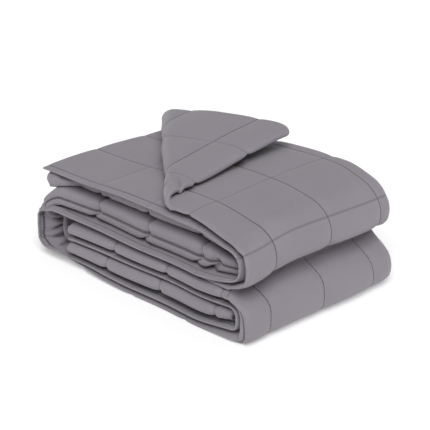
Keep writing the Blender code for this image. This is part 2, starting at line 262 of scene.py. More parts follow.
# Where the twisted creases lie, the mesh is finer: middle, half width and step.
twistAlong = (0.298, 0.028, 0.0042)
twistAcross = (0.024, 0.022, 0.0040)

# How the front edges lie, at stations along the strip given as section count and
# share of that section. Set back from the front face: the top layer's edge, the
# hem layer's hem and the front roll. Then how far the roll's crease has slid round
# it, how deep it is, how much the seams lean on the roll, how far the hem leans
# out over the roll, and how far the top layer is tucked under, in half turns.
stationColumns = ("station", "top", "hem", "roll", "slide", "crease", "lean", "flare", "tuck")
stations = np.array([
    (0.00, 0.002, 0.002, 0.003, 0.0080, 0.003, 0.000, 0.0000, 0.0),
    (0.08, 0.002, 0.002, 0.005, 0.0080, 0.003, 0.000, 0.0000, 0.0),
    (0.15, 0.002, 0.002, 0.027, 0.0080, 0.003, 0.000, 0.0000, 0.0),
    (0.24, 0.002, 0.002, 0.025, 0.0080, 0.003, 0.000, 0.0000, 0.0),
    (0.55, 0.002, 0.001, 0.022, 0.0080, 0.003, 0.000, 0.0020, 0.0),
    (0.70, 0.002, 0.001, 0.022, 0.0060, 0.003, 0.000, 0.0060, 0.0),
    (1.00, 0.002, 0.003, 0.024, 0.0000, 0.004, 0.000, 0.0065, 0.0),
    (1.55, 0.001, 0.004, 0.022, 0.0000, 0.006, 0.010, 0.0065, 0.0),
    (1.92, 0.002, 0.004, 0.018, 0.0000, 0.008, 0.024, 0.0055, 0.0),
    (2.04, 0.006, 0.003, 0.013, 0.0000, 0.008, 0.036, 0.0010, 0.0),
    (2.14, 0.012, 0.001, 0.009, 0.0000, 0.008, 0.038, 0.0000, 0.0),
    (2.75, 0.022, 0.001, 0.011, 0.0000, 0.008, 0.038, 0.0000, 0.0),
    (3.05, 0.026, 0.000, 0.003, 0.0000, 0.006, 0.020, 0.0010, 0.0),
    (3.20, 0.030, -0.001, -0.002, 0.0000, 0.004, 0.006, 0.0060, 0.0),
    (3.33, 0.032, -0.001, 0.001, 0.0000, 0.003, 0.002, 0.0180, 0.0),
    (3.42, 0.034, -0.001, 0.014, 0.0000, 0.003, 0.000, 0.0250, 0.0),
    (3.52, 0.034, -0.001, 0.028, 0.0000, 0.003, 0.000, 0.0230, 0.0),
    (3.80, 0.034, -0.001, 0.026, -0.0040, 0.002, 0.000, 0.0160, 0.0),
    (4.02, 0.036, 0.000, 0.006, -0.0060, 0.002, 0.000, 0.0060, 0.0),
    (4.20, 0.046, 0.002, 0.002, -0.0060, 0.0015, 0.000, 0.0000, 0.0),
    (5.00, 0.046, 0.003, 0.001, -0.0060, 0.0015, 0.000, 0.0000, 0.0),
    (6.00, 0.006, 0.005, -0.001, 0.0060, 0.004, 0.004, 0.0000, 1.0),
    (7.00, 0.001, 0.002, 0.000, 0.0095, 0.007, 0.006, 0.0000, 1.0),
])

# Creases listed one by one, each a soft trough across the strip: its station, the
# place across it that it runs through, how it slants there, its half width and
# reach, how deep it is, minus where the cloth's other face shows, and how far it
# draws the cloth back.
creases = np.array([
    (0.100, 0.800, 0.60, 0.0040, 0.022, 0.0030, 0.0060),   # round the free end's roll
    (0.300, 0.790, 0.00, 0.0030, 0.020, 0.0010, 0.0050),
    (0.480, 0.790, 0.30, 0.0030, 0.020, 0.0010, 0.0050),
    (1.300, 0.790, 0.50, 0.0045, 0.045, 0.0030, 0.0080),   # crumpled inside the upper fold
    (1.700, 0.790, -0.60, 0.0045, 0.045, 0.0030, 0.0100),
    (2.090, 0.785, 0.25, 0.0040, 0.030, 0.0030, 0.0110),
    (3.520, 1.5255, 0.00, 0.0600, 0.0055, -0.0115, 0.0),   # a hollow inside the left fold's hem
    (3.170, 1.498, 0.10, 0.0028, 0.022, -0.0130, 0.0),     # drawn up inside the left fold
    (3.265, 1.496, -0.12, 0.0028, 0.023, -0.0165, 0.0),
    (3.370, 1.500, 0.08, 0.0028, 0.021, -0.0140, 0.0),
    (3.480, 1.496, -0.24, 0.0030, 0.023, -0.0170, 0.0),
    (3.600, 1.498, 0.22, 0.0030, 0.021, -0.0150, 0.0),
    (3.720, 1.496, -0.14, 0.0030, 0.023, -0.0165, 0.0),
    (3.860, 1.498, 0.20, 0.0032, 0.021, -0.0120, 0.0),
    (0.599, 0.026, 1.00, 0.0042, 0.016, -0.0130, 0.0),     # twisted where the flap turns over
    (0.585, 0.016, -0.80, 0.0042, 0.018, -0.0150, 0.0),
])


def ease(t):
    # 0 to 1 with level ends: 3t^2 - 2t^3
    t = np.clip(t, 0.0, 1.0)
    return t * t * (3.0 - 2.0 * t)


def bell(t, centre, width):
    # a smooth bump, 1 at centre: e^-((t - centre) / width)^2
    return np.exp(-((t - centre) / width) ** 2)


def fade(t, name):
    # 0 before the start of the passage of that name and 1 past its end
    start, length = passages[name]
    return ease((t - start) / length)


def falloff(t, reach):
    # 1 at nought and below, falling evenly to 0 at reach: 1 - t / reach
    return np.clip(1.0 - t / reach, 0.0, 1.0)


def arch(t, length):
    # half a sine wave from nought to length, 1 at its middle
    return np.sin(np.pi * np.clip(t / length, 0.0, 1.0))


def wave(x, y, z, axis):
    # the sum of that axis's waves: depth times the sine of a x + b y + c z
    return sum(depth * np.sin(a * x + b * y + c * z) for depth, a, b, c in waves[axis])


def traceStrip():
    # middle line of the strip seen from the front: four straight runs joined by
    # half ellipses, given as points, their distance along it and the section ends
    rightX, leftX = blanket["rightFoldX"], blanket["leftFoldX"]
    small, large = 2.0 * blanket["layerPitch"], 4.0 * blanket["layerPitch"]
    half = math.pi / 2.0

    def run(name, start, end):
        count = blanket["runPoints"]
        return np.stack([np.linspace(start, end, count), np.full(count, levels[name])], 1)

    def turn(name, x, wide, tall, start, end):
        angle = np.linspace(start, end, blanket["foldPoints"])
        return np.stack([x + wide * np.cos(angle), levels[name] + tall * np.sin(angle)], 1)

    pieces = [
        run("top run", blanket["topFreeX"], rightX),
        turn("upper fold", rightX, small, small, half, -half),
        run("second run", rightX, leftX),
        turn("left fold", leftX, blanket["leftFoldBulge"], large, half, 3.0 * half),
        run("bottom run", leftX, rightX),
        turn("lower fold", rightX, small, small, -half, half),
        run("inner run", rightX, blanket["innerFreeX"]),
    ]
    points = np.concatenate(pieces)
    gaps = np.r_[0.0, np.linalg.norm(np.diff(points, axis=0), axis=1)]
    along = np.cumsum(gaps)
    ends = np.cumsum([len(piece) for piece in pieces]) - 1
    keep = np.r_[True, gaps[1:] > 1e-8]  # a run and its fold share a point
    return points[keep], along[keep], np.r_[0.0, along[ends]]


def panelLengths():
    # a flat panel reaches from the front to the back folds, a fold is a half round
    lengths = []
    for panel in panels:
        if panel["kind"] == "flat":
            start = blanket["frontFoldY"] if "roll" in panel["name"] else blanket["frontY"]
            lengths.append(blanket["backFoldY"] - start)
        else:
            lengths.append(math.pi * panel["level"] * blanket["layerPitch"])
    return lengths


stripPoints, stripAlong, sectionEnds = traceStrip()
stripAngle = np.unwrap(np.arctan2(np.gradient(stripPoints[:, 1], stripAlong),
                                  np.gradient(stripPoints[:, 0], stripAlong)))
panelEnds = np.r_[0.0, np.cumsum(panelLengths())]


def seamPlaces(rows, ends):
    # start + share * (end - start) for every seam of every row
    return np.array([start + share * (end - start)
                     for row, start, end in zip(rows, ends[:-1], ends[1:]) for share in row["seams"]])


crossSeams = seamPlaces(sections, sectionEnds)
longSeams = seamPlaces(panels, panelEnds)
topRunEnd, upperFoldEnd = sectionEnds[1:3]
topLayerEnd = panelEnds[1]
foldSeam = crossSeams[3]     # the seam over the upper fold
rollCrease = longSeams[6]    # the seam along the front fold
hemLine = longSeams[-1]


def meshLines(rows, ends, seams, spot):
    # mesh lines across the flat cloth: close together beside each seam and hem,
    # widening with the distance from it up to the section's own widest step, and
    # no wider than the spot's step inside the spot
    marks = np.unique(np.round(np.r_[ends[0], seams, ends[-1]], 9))
    lines = [ends[0]]
    for start, end in zip(marks[:-1], marks[1:]):
        t = np.linspace(start, end, blanket["stepSamples"])
        row = np.clip(np.searchsorted(ends, t, side="right") - 1, 0, len(rows) - 1)
        widest = np.array([entry["widest"] for entry in rows])[row]
        fine = np.array([entry["fine"] for entry in rows])[row]
        near = np.minimum(t - start, end - t)
        step = np.minimum(widest, fine + blanket["stepGrowth"] * near)
        step = np.where(np.abs(t - spot[0]) < spot[1], np.minimum(step, spot[2]), step)
        count = np.r_[0.0, np.cumsum(np.diff(t) * 0.5 * (1.0 / step[1:] + 1.0 / step[:-1]))]
        share = np.linspace(0.0, count[-1], max(2, int(round(count[-1]))) + 1)
        lines += list(np.interp(share, count, t)[1:])
    rim = np.array(blanket["rimSteps"])
    return np.sort(np.r_[lines, ends[0] + rim, ends[-1] - rim])


def seamGap(t, seams):
    # distance to the nearest seam
    k = np.clip(np.searchsorted(seams, t), 1, len(seams) - 1)
    return np.minimum(np.abs(t - seams[k - 1]), np.abs(t - seams[k]))


def alongStrip(station):
    # the distance along the strip of a section count and share
    return np.interp(station, np.arange(len(sectionEnds)), sectionEnds)


def passed(v, name):
    # 0 before the panel of that name and 1 past it, with level ends
    k = [panel["name"] for panel in panels].index(name)
    return ease((v - panelEnds[k]) / (panelEnds[k + 1] - panelEnds[k]))


def columnAt(s, column):
    # one column of the stations, straight from each station to the next
    return np.interp(s, alongStrip(stations[:, 0]), stations[:, stationColumns.index(column)])


def creased(s, v):
    # the listed creases: each a bell across its own slanting line, fading
    # along it with its reach; gives how deep they are and how far back they draw
    deep, back = np.zeros_like(s), np.zeros_like(s)
    for station, across, slant, width, reach, depth, draw in creases:
        line = alongStrip(station) + slant * (v - across)
        trough = bell(s, line, width) * bell(v, across, reach)
        deep, back = deep + depth * trough, back + draw * trough
    return deep, back


def clothThickness(s, v):
    # a square fills out from its seams as 1 - e^-(gap / reach), the hem band is
    # thin and even, and the outer edge is rounded
    cloth = blanket
    onTuck = columnAt(s, "tuck") * bell(v, 0.0, cloth["tuckWidth"])
    onRoll = np.maximum(bell(v, rollCrease, cloth["rollWidth"]), onTuck)
    reach = cloth["puffReach"] + (cloth["rollReach"] - cloth["puffReach"]) * onRoll
    shown = np.clip(columnAt(s, "crease") / cloth["creaseFull"], cloth["creaseLeast"], 1.0)
    drawn = 1.0 - bell(v, rollCrease, cloth["creaseSpread"]) * (1.0 - shown)
    overFold = bell(s, foldSeam, cloth["foldSeamWidth"]) * (1.0 - fade(v - topLayerEnd, "pastTopLayer"))
    drawn = drawn * (1.0 - cloth["foldSeamEase"] * overFold)
    fill = 1.0 - drawn * np.exp(-seamGap(s, crossSeams) / reach)
    fill = fill * (1.0 - np.exp(-seamGap(v, longSeams) / reach))
    seam, square = cloth["seamThickness"], cloth["squareThickness"]
    thick = seam + (square - seam) * np.clip(fill / cloth["puffFull"], 0.0, 1.0)
    hem = seam + (cloth["hemThickness"] - seam) * fade(v - hemLine, "hemBand")
    thick = np.where(v > hemLine, hem, thick)
    lobe = bell(v, rollCrease, cloth["lobeWidth"]) * bell(s, 0.0, cloth["lobeLength"])
    thick = thick + (cloth["lobeThickness"] - thick) * np.clip(cloth["lobeFull"] * lobe, 0.0, 1.0)
    edge = np.minimum(np.minimum(s, sectionEnds[-1] - s), np.minimum(v, panelEnds[-1] - v))
    turned = 1.0 - np.clip(edge / (thick / 2.0), 0.0, 1.0)
    return thick * np.sqrt(np.clip(1.0 - turned ** 2, 0.0, 1.0))


def slipAlong(s, v):
    # the layers slide on each other along the top run, most at its middle, and
    # the seams lean on the rolls along the front
    cloth = blanket
    onTop = 1.0 - passed(v, "outer back fold")
    onHem = passed(v, "inner back fold")
    between = (1.0 - onTop) * (1.0 - onHem)
    under = fade(v - rollCrease, "pastCrease") * (1.0 - passed(v, "inner roll layer"))
    slip = (cloth["cornerX"] - cloth["topFreeX"]) * onTop * falloff(s, topRunEnd)
    innerEnd = fade(sectionEnds[-1] - s, "beforeInnerEnd")
    slip = slip + cloth["tuckSlip"] * columnAt(s, "tuck") * onTop * innerEnd
    slip = slip - cloth["hemSlip"] * onHem * falloff(s, cloth["hemSlipReach"])
    lobe = bell(v, rollCrease, cloth["lobeWidth"]) - bell(v, rollCrease, cloth["lobeMiddle"])
    slip = slip + cloth["lobeRetreat"] * lobe * falloff(s, cloth["lobeLength"])
    slide = (cloth["hemSlide"] * onHem + cloth["rollSlide"] * between) * arch(s, topRunEnd)
    return slip + slide + columnAt(s, "lean") * under


def tuckedLayer(s, share, front, level):
    # the top layer's way from the back to its hem: straight, then round a bend of
    # tuck half turns, then straight again under itself; its normal turns with it
    tuck = columnAt(s, "tuck")
    r = blanket["tuckRadius"]
    axis = front + r * tuck
    bend = math.pi * r * tuck
    tail = blanket["tuckTail"] * tuck
    fromHem = share * (blanket["backFoldY"] - axis + bend + tail)
    angle = np.clip((tail + bend - fromHem) / r, 0.0, math.pi * tuck)
    straight = np.maximum(fromHem - tail - bend, 0.0)
    under = np.maximum(tail - fromHem, 0.0)
    y = axis + straight - r * np.sin(angle) - under * np.cos(math.pi * tuck)
    n = level + r * (1.0 - np.cos(angle)) + under * np.sin(math.pi * tuck)
    return y, n, np.sin(angle), np.cos(angle)


def roundCorner(s, v):
    # shrinks a square at the free corner towards its inner corner, by its longer
    # offset over its diagonal one, so that its outline becomes a quarter circle
    r = blanket["cornerRadius"]
    a, b = r - s, r - v
    shrink = np.where((a > 0.0) & (b > 0.0), np.maximum(a, b) / np.maximum(np.hypot(a, b), 1e-9), 1.0)
    return r - a * shrink, r - b * shrink


def crossSection(s, v):
    # the strip's own section: y from front to back and n from its middle line,
    # with the cloth's normal; flat panels are straight and folds half rounds
    cloth = blanket
    pitch = cloth["layerPitch"]
    topFront = cloth["frontY"] + columnAt(s, "top")
    hemFront = cloth["frontY"] + columnAt(s, "hem")
    rollFront = cloth["frontFoldY"] + columnAt(s, "roll")
    back = cloth["backFoldY"]
    slide = columnAt(s, "slide") * bell(v, rollCrease, cloth["creaseSpread"])
    slid = np.clip(v + slide, 0.0, panelEnds[-1])
    y, n, ny, nn = (np.zeros_like(v) for _ in range(4))
    for k, panel in enumerate(panels):
        share = (slid - panelEnds[k]) / (panelEnds[k + 1] - panelEnds[k])
        here = (share >= 0.0) & (share <= 1.0)
        level = panel["level"] * pitch
        turn = math.pi * share
        name = panel["name"]
        if name == "top layer":
            place = tuckedLayer(s, share, topFront, level)
        elif name == "outer roll layer":
            place = (back + share * (rollFront - back), level, 0.0, -1.0)
        elif name == "inner roll layer":
            place = (rollFront + share * (back - rollFront), level, 0.0, 1.0)
        elif name == "hem layer":
            depth = back + share * (hemFront - back)
            place = (depth, level - columnAt(s, "flare") * (1.0 - fade(depth, "flare")), 0.0, -1.0)
        elif name == "outer back fold":
            place = (back + level * np.sin(turn), level * np.cos(turn), np.sin(turn), np.cos(turn))
        elif name == "inner back fold":
            place = (back + level * np.sin(turn), -level * np.cos(turn), -np.sin(turn), np.cos(turn))
        else:
            place = (rollFront - level * np.sin(turn), -pitch - level * np.cos(turn),
                     -np.sin(turn), -np.cos(turn))
        y, n, ny, nn = (np.where(here, new, old) for new, old in zip(place, (y, n, ny, nn)))
    crease = columnAt(s, "crease")
    y = y + crease * bell(v, rollCrease, cloth["creaseWidth"])
    pinch = bell(seamGap(s, crossSeams), 0.0, cloth["pinchWidth"])
    onFront = bell(v, rollCrease, cloth["pinchReach"]) + columnAt(s, "tuck") * bell(v, *cloth["tuckPinch"])
    y = y + cloth["pinchDepth"] * pinch * onFront * np.clip(crease / cloth["pinchFull"], 0.0, 1.0)
    under = fade(slid - rollCrease, "leanStart") * (1.0 - fade(slid - rollCrease, "leanEnd"))
    y = y + cloth["leanDepth"] * columnAt(s, "lean") * under
    shown = 1.0 - fade(s - upperFoldEnd, "pastUpperFold")
    y = y + cloth["hemPinch"] * pinch * bell(v, 0.0, cloth["hemPinchReach"]) * shown
    return y, n, ny, nn


def turnBack(x, y, s, v, lift):
    # rolls the top layer over the slanting crease beside its free corner: the
    # cloth past the crease goes round a cone and lies back over the stack, its
    # hem and its tip curling down by parabolas of their distance
    flap = blanket
    creaseX = flap["cornerX"] + flap["flapAlongFront"]
    crease = np.array([-flap["flapAlongFront"], flap["flapAlongEnd"]])
    length = np.linalg.norm(crease)
    crease = crease / length
    inward = np.array([-crease[1], crease[0]])
    px = x - creaseX
    py = y - flap["frontY"]
    along = px * crease[0] + py * crease[1]
    past = px * inward[0] + py * inward[1]
    widen = flap["flapEndRadius"] - flap["flapFrontRadius"]
    radius = flap["flapFrontRadius"] + widen * np.clip(along / length, 0.0, 1.0)
    angle = np.clip(past / radius, 0.0, math.pi)
    beyond = np.maximum(past - math.pi * radius, 0.0) * flap["flapStretch"]
    across = np.where(past < 0.0, past, radius * np.sin(angle) - beyond) - lift * np.sin(angle)
    rise = radius * (1.0 - np.cos(angle)) + flap["flapLift"] * beyond + lift * np.cos(angle)
    droop = bell(y, flap["frontY"], flap["flapDroopDepth"]) * fade(beyond, "droopPastCrease")
    rise = rise - flap["flapDroop"] * droop * fade(x - flap["cornerX"], "droopPastCorner")
    curl = falloff(v, flap["flapCurlReach"]) ** 2 * fade(beyond, "curlPastCrease")
    rise = rise - flap["flapCurl"] * curl
    rise = rise - flap["tipDroop"] * falloff(np.hypot(s, v), flap["tipReach"]) ** 2
    newX = creaseX + along * crease[0] + across * inward[0]
    newY = flap["frontY"] + along * crease[1] + across * inward[1]
    return newX, newY, rise, past


def squareOff(x, z, axis, outward, level, above, below):
    # fills a round fold out towards a rounded box: a superellipse of the powers
    # above and below the fold's own level; outward is 1 or -1 along X
    dx = (x - axis) * outward
    dz = z - level
    r = np.maximum(np.hypot(dx, dz), 1e-9)
    power = np.where(dz > 0.0, above, below)
    c = np.maximum(dx, 0.0) / r
    d = np.abs(dz) / r
    grow = np.where(dx > 0.0, (c ** power + d ** power) ** (-1.0 / power), 1.0)
    return axis + outward * np.where(dx > 0.0, dx * grow, dx), level + dz * grow


def nearFront(x, y):
    # 1 along the front face, fading behind it and towards the right folds
    return (1.0 - fade(y, "behindFront")) * (1.0 - blanket["frontRight"] * fade(x, "frontToRight"))


def restShares(x, y):
    # how far a place counts as inside the stack, along the front and at its left end
    near = nearFront(x, y)
    atLeft = fade(-x, "leftEnd")
    return 1.0 - near, near * (1.0 - atLeft), near * atLeft


def squeeze(x, y, z):
    # how much the layers at an even height z are pressed together or drawn apart
    laid = restHeights[:, 0]
    k = np.clip(np.searchsorted(laid * blanket["layerPitch"], z) - 1, 0, len(laid) - 2)
    slopes = np.diff(restHeights[:, 1:], axis=0) / np.diff(laid)[:, None]
    return sum(slopes[k, i] * share for i, share in enumerate(restShares(x, y)))


def settle(x, y, z):
    # takes the even stack to the shape it rests in: tall rolls and thin hems
    # along the front, a crown on top, a lower left end, an uneven outline
    rest, pitch = blanket, blanket["layerPitch"]
    right, left = blanket["rightFoldX"], blanket["leftFoldX"]

    # the folds fill out, and a furrow is left between the right ones
    above, below = rest["lowerFoldPowers"]
    below = below - rest["lowerFoldEase"] * fade(y, "backOfLowerFold")
    ux, uz = squareOff(x, z, right, 1.0, levels["upper fold"], rest["roundPower"], rest["upperFoldPower"])
    lx, lz = squareOff(x, z, right, 1.0, levels["lower fold"], above, below)
    sx, sz = squareOff(x, z, left, -1.0, levels["left fold"], rest["roundPower"], rest["leftFoldPower"])
    onUpper = z > rest["foldsMeet"] * pitch
    overLeft = z > levels["upper fold"]
    onLeft = x < left
    x, z = (np.where(onLeft, np.where(overLeft, was, side), np.where(onUpper, upper, lower))
            for was, side, upper, lower in ((x, sx, ux, lx), (z, sz, uz, lz)))
    x = x - rest["crevice"] * bell(z / pitch, *rest["crevicePlace"]) * fade(x - right, "crevice")

    # every layer goes to its own height
    laid, *rests = (restHeights * pitch).T
    over = np.maximum(z - laid[-1], 0.0)
    z = over + sum(np.interp(z, laid, height) * share for height, share in zip(rests, restShares(x, y)))
    shoulder = bell(z / pitch, *rest["leftShoulderPlace"]) * nearFront(x, y) * fade(-x, "leftFace")
    x = x - rest["leftShoulder"] * shoulder

    # the top rises to a crown and drops towards its ends
    height = z / (rest["stackLevels"] * pitch)
    depth = arch(y, rest["crownDepth"])
    crown = bell(x, *rest["crownPlace"]) * (rest["crownFront"] + rest["crownMiddle"] * depth)
    leftDrop = rest["leftDrop"] * fade(-x, "leftDrop") * (1.0 - rest["leftDropMiddle"] * depth)
    backDrop = rest["backDrop"] * fade(y, "backOfLeft") * fade(-x, "leftBackDrop")
    rightDrop = rest["rightDrop"] * fade(x, "rightDrop") * fade(y, "backOfRightDrop")
    frontDrop = rest["frontDrop"] * fade(x, "frontDrop") * (1.0 - fade(y, "behindFront"))
    z = (z + height * (crown - leftDrop - backDrop) - rightDrop * fade(height, "upperHalf")
         - frontDrop * np.clip(height, 0.0, 1.0) ** 2)

    # the left side leans, the right side bulges, and the whole outline waves
    low = z / (rest["waistLevel"] * pitch) - 1.0
    lean = np.where(low < 0.0, rest["leanBelow"], rest["leanAbove"])
    x = x + lean * np.clip(low, -1.0, 1.0) * fade(-x, "leftSide")
    x = x + rest["rightBulge"] * arch(y, rest["rightBulgeDepth"]) * fade(x, "rightSide")
    foot = fade(y, "backOfFoot") * fade(x, "rightSide") * (1.0 - fade(height, "upperHalf"))
    x = x + rest["rightFoot"] * foot
    x = x + wave(x, y, z, "x") * fade(np.abs(x), "waves")
    y = y + wave(x, y, z, "y")
    z = z + wave(x, y, z, "z") * height
    return x, y, z


def folded(s, v, side):
    # the folded place of a point of the flat cloth; side is 1 or -1 for its faces
    cloth = blanket
    pitch = cloth["layerPitch"]
    lift = side * clothThickness(s, v) / 2.0
    placeS, placeV = roundCorner(s, v)
    y, n, ny, nn = crossSection(placeS, placeV)
    t = placeS + slipAlong(placeS, placeV)
    over = np.minimum(t, 0.0) - np.maximum(t - stripAlong[-1], 0.0)
    x0 = np.interp(t, stripAlong, stripPoints[:, 0]) + over
    z0 = np.interp(t, stripAlong, stripPoints[:, 1])
    angle = np.interp(t, stripAlong, stripAngle)

    # a hem keeps its own thickness however hard its layer is pressed
    hemness = 1.0 - fade(np.minimum(v - longSeams[0], hemLine - v), "besideHem")
    keep = 1.0 + hemness * (1.0 / squeeze(x0, y, n * np.cos(angle) + z0) - 1.0)
    (rollShare, rollReach), (hemShare, hemReach) = cloth["innerRoll"], cloth["innerHem"]
    inner = 1.0 - rollShare * bell(v, rollCrease, rollReach) - hemShare * bell(v, 0.0, hemReach)
    pressed = lift * np.where(side < 0.0, inner, 1.0)
    deep, back = creased(s, v)
    stackY = y + pressed * ny + back - deep * ny
    x = x0 - (n + pressed * nn - deep * nn) * np.sin(angle)
    z = z0 + (n + pressed * nn * keep - deep * nn) * np.cos(angle)

    # the free end sags, its lowest layer most
    sag = falloff(s, cloth["endSagReach"]) ** 2 * np.clip(0.5 - n / (3.0 * pitch), 0.0, 1.0)
    z = z - cloth["endSag"] * sag * (1.0 - cloth["endSagBehind"] * fade(y, "behindSag"))

    # the free corner turns back, then everything settles
    flapX, flapY, rise, past = turnBack(x0, y, placeS, placeV, lift - deep)
    turned = (v <= topLayerEnd) & (s <= topRunEnd) & (past > 0.0)
    x = np.where(turned, flapX, x)
    y = np.where(turned, flapY, stackY)
    z = np.where(turned, z0 + 1.5 * pitch + rise, z)
    x, y, z = settle(x, y, z)

    # the lowest front edge lifts off the floor, and the rest is pressed flat on it
    lip = cloth["lipWhole"] * fade(-x, "lipWhole") + cloth["lipLeft"] * fade(-x, "lipLeft")
    lip = lip * (1.0 - fade(y, "behindLip")) * (1.0 - fade(z, "aboveLip"))
    z = np.maximum(z + lip, cloth["floorFlat"]) - cloth["floorFlat"]
    return np.stack([x - cloth["centreX"], y - cloth["centreY"], z], -1)


def clothMesh(name):
    # both faces of the cloth on one grid of mesh lines, joined along the edge
    rows = meshLines(sections, sectionEnds, crossSeams, twistAlong)
    columns = meshLines(panels, panelEnds, longSeams, twistAcross)
    s, v = np.meshgrid(rows, columns, indexing="ij")
    n, m = s.shape
    upper = np.arange(n * m).reshape(n, m)
    lower = upper.copy()
    lower[1:-1, 1:-1] = n * m + np.arange((n - 2) * (m - 2)).reshape(n - 2, m - 2)
    flatS = np.r_[s.ravel(), s[1:-1, 1:-1].ravel()]
    flatV = np.r_[v.ravel(), v[1:-1, 1:-1].ravel()]
    side = np.r_[np.ones(n * m), -np.ones((n - 2) * (m - 2))]
    side[upper[[0, -1], :].ravel()] = 0.0
    side[upper[:, [0, -1]].ravel()] = 0.0
    points = folded(flatS, flatV, side)
    corners = [grid[a:n - 1 + a, b:m - 1 + b].ravel()
               for grid, order in ((upper, ((0, 0), (1, 0), (1, 1), (0, 1))),
                                   (lower, ((0, 1), (1, 1), (1, 0), (0, 0)))) for a, b in order]
    faces = np.concatenate([np.stack(corners[:4], 1), np.stack(corners[4:], 1)])

    mesh = bpy.data.meshes.new(name)
    mesh.vertices.add(len(points))
    mesh.vertices.foreach_set("co", points.astype(np.float32).ravel())
    mesh.loops.add(faces.size)
    mesh.loops.foreach_set("vertex_index", faces.astype(np.int32).ravel())
    mesh.polygons.add(len(faces))
    mesh.polygons.foreach_set("loop_start", np.arange(0, faces.size, 4, dtype=np.int32))
    mesh.polygons.foreach_set("loop_total", np.full(len(faces), 4, dtype=np.int32))
    mesh.update(calc_edges=True)
    mesh.validate()
    mesh.shade_smooth()

    layer = mesh.uv_layers.new(name="cloth")  # the flat cloth's own sizes
    flat = np.stack([flatS, flatV], 1)[faces.ravel()]
    layer.uv.foreach_set("vector", flat.astype(np.float32).ravel())
    for label, gap in (("crossGap", seamGap(flatS, crossSeams)), ("longGap", seamGap(flatV, longSeams))):
        mesh.attributes.new(label, "FLOAT", "POINT").data.foreach_set("value", gap.astype(np.float32))
    piece = bpy.data.objects.new(name, mesh)
    bpy.context.scene.collection.objects.link(piece)
    return piece


# The finish: matte microfibre with a short nap, and lines of stitches, darkened partly by their thread and
# partly by painted shade of the seam grooves. A noise is its patterns a metre, its detail and its
# roughness.
microfibre = {
    "colour": (0.240, 0.220, 0.249),
    "roughness": 0.78,
    "specular": 0.30,
    "sheen": 0.30,
    "sheenRoughness": 0.45,
    "shade": 0.91,               # how bright the colour is before its patches and fibres
    "patchNoise": (9.0, 3.0, 0.55),
    "patchShare": 0.10,
    "fibreNoise": (1400.0, 1.0, 0.6),
    "fibreShare": 0.08,
    # painted shade: this dark colour stands for the thread and for the shade in the seam grooves
    "stitchAndGrooveShadeColour": (0.060, 0.056, 0.064),
    "stitchPitch": 0.0042,
    "stitchHalfWidth": 0.0010,
    "stitchSides": (0.5, 1.6),   # where a line of stitches fades out, in half widths
    "stitchEnds": (0.32, 0.46),  # where a stitch fades out, in pitches from its middle
    # painted shade: the line stays dark between two stitches, where there is only the groove
    "grooveShadeBetweenStitches": 0.55,           # how strong the line stays between two stitches
    "stitchSunk": 0.0006,
    # painted shade: the cross seams' darkness, thread and groove shade, is weakened to this share
    "crossStitchAndShadeShare": 0.42,    # how strong the cross seams' stitches look beside the rest
    "puckerReach": 0.014,
    "puckerDepth": 0.0012,
    "puckerNoise": (1.0, 1.5, 0.45),
    "puckerScales": (18.0, 150.0),   # ridges a metre away from a seam and along it
    "softNoise": (26.0, 2.0, 0.5),   # the filling's slow unevenness
    "softDepth": 0.0016,
    "weavePitch": 0.0011,
    "weaveDepth": 0.00006,
}


class NodeWriter:
    # adds nodes to one material and joins them: an input is a number or a socket
    def __init__(self, material):
        material.use_nodes = True
        self.tree = material.node_tree
        self.shader = self.tree.nodes["Principled BSDF"]

    def put(self, kind, inputs, output=0, **settings):
        node = self.tree.nodes.new(kind)
        for label, value in settings.items():
            setattr(node, label, value)
        for label, value in inputs.items():
            self.join(value, node.inputs[label])
        return node.outputs[output]

    def join(self, value, socket):
        if isinstance(value, bpy.types.NodeSocket):
            self.tree.links.new(value, socket)
        else:
            socket.default_value = value

    def math(self, operation, a, b=0.0, c=0.0):
        return self.put("ShaderNodeMath", {0: a, 1: b, 2: c}, operation=operation)

    def fade(self, value, start, end, low=1.0, high=0.0):
        # low before start and high past end, with level ends
        inputs = {"Value": value, "From Min": start, "From Max": end, "To Min": low, "To Max": high}
        return self.put("ShaderNodeMapRange", inputs, interpolation_type="SMOOTHSTEP")

    def noise(self, vector, scale, detail, roughness):
        inputs = {"Vector": vector, "Scale": scale, "Detail": detail, "Roughness": roughness}
        return self.put("ShaderNodeTexNoise", inputs)


